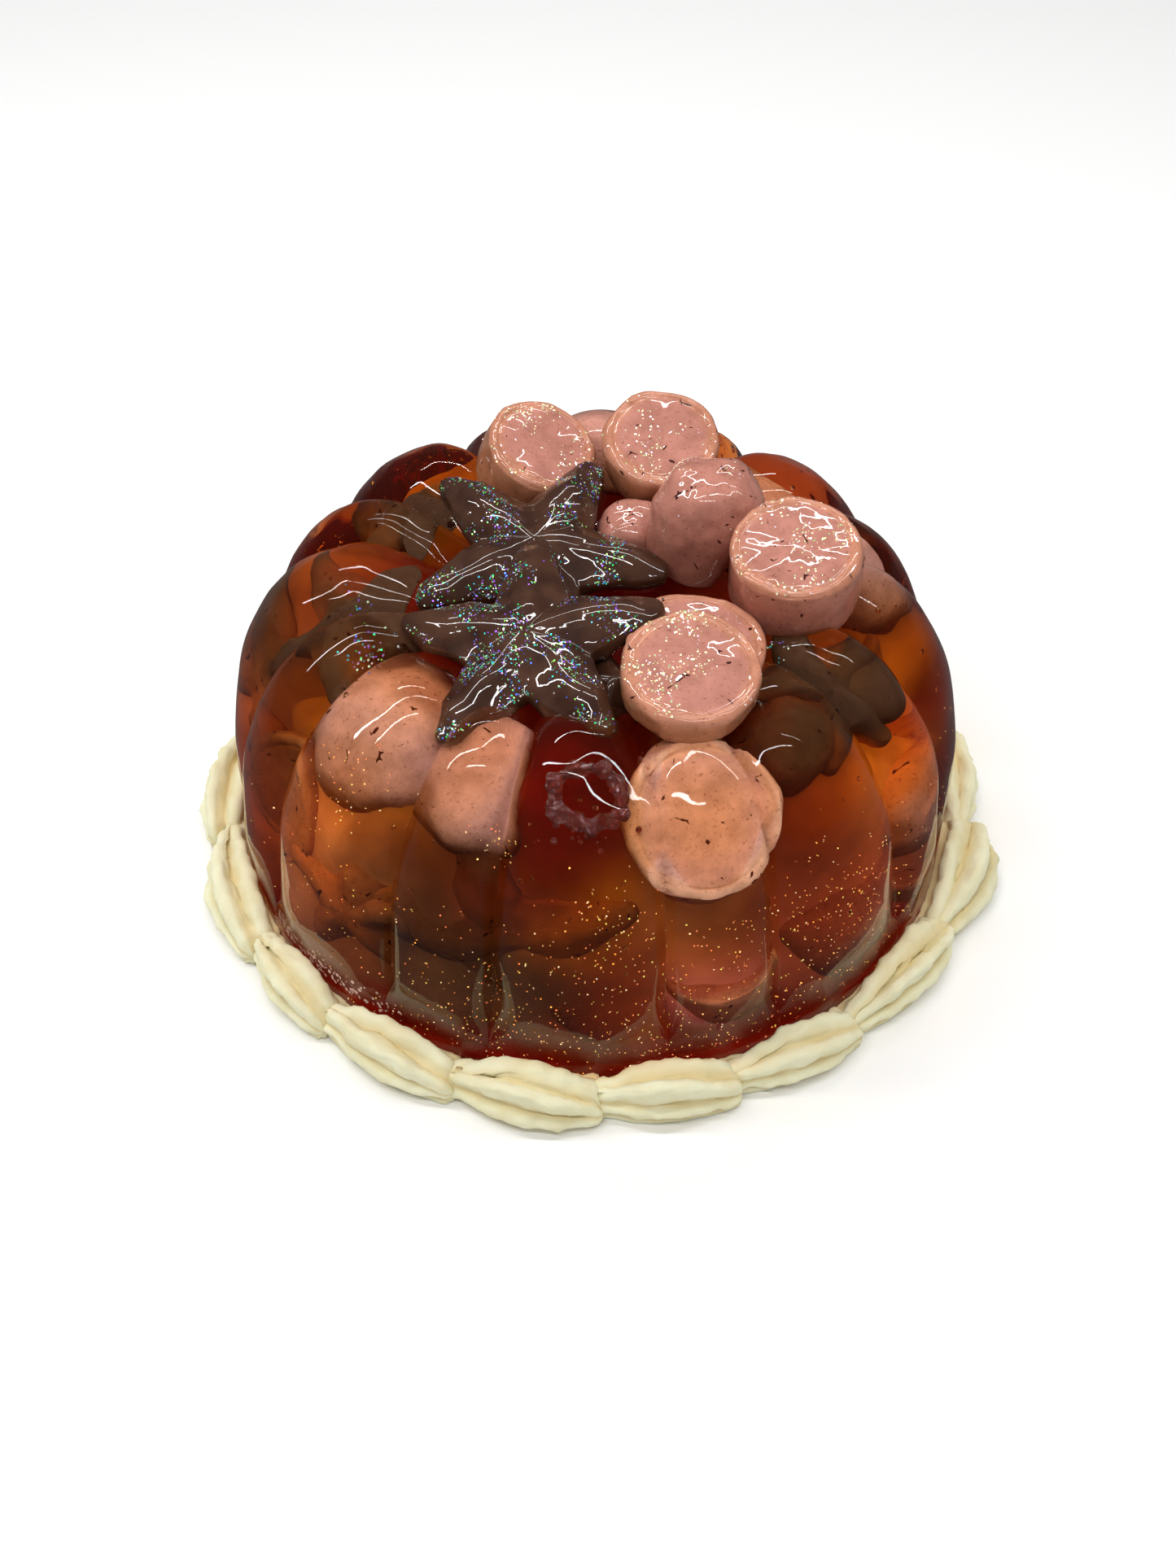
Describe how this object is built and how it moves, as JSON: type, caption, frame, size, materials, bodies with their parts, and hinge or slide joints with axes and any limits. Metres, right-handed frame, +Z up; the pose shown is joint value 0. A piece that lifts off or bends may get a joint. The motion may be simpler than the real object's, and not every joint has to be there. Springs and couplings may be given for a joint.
{
  "type": "jelly dessert",
  "caption": "Fluted domed jelly in clear amber-red resin with sausage slices and dark glittery stars on top, ringed at its foot by piped ivory shells.",
  "frame": {"origin": "centre of the underside, on the surface that it stands on", "axes": "+Z up, front of the picture faces -Y, +X to the right of the front view"},
  "size_m": [0.1191, 0.1187, 0.0595],
  "materials": {
    "resin": "clear amber-red cast resin, glossy",
    "cream": "dry matte ivory paste",
    "chocolate": "dark brown clay under a glossy coat with glitter",
    "sausage": "dusty pink clay under a glossy coat with glitter"
  },
  "bodies": {
    "root": {"jelly": "resin", "cream_shell_01": "cream", "cream_shell_02": "cream", "cream_shell_03": "cream", "cream_shell_04": "cream", "cream_shell_05": "cream", "cream_shell_06": "cream", "cream_shell_07": "cream", "cream_shell_08": "cream", "cream_shell_09": "cream", "cream_shell_10": "cream", "cream_shell_11": "cream", "cream_shell_12": "cream", "cream_shell_13": "cream", "cream_shell_14": "cream", "cream_shell_15": "cream", "cream_shell_16": "cream", "cream_shell_17": "cream", "star_front": "chocolate", "star_back": "chocolate", "star_fragment": "chocolate", "sausage_slice_front": "sausage", "sausage_slice_under": "sausage", "sausage_slice_right": "sausage", "sausage_end_upright": "sausage", "sausage_end_middle": "sausage", "sausage_slice_back_right": "sausage", "sausage_slice_back_left": "sausage"}
  },
  "joints": []
}
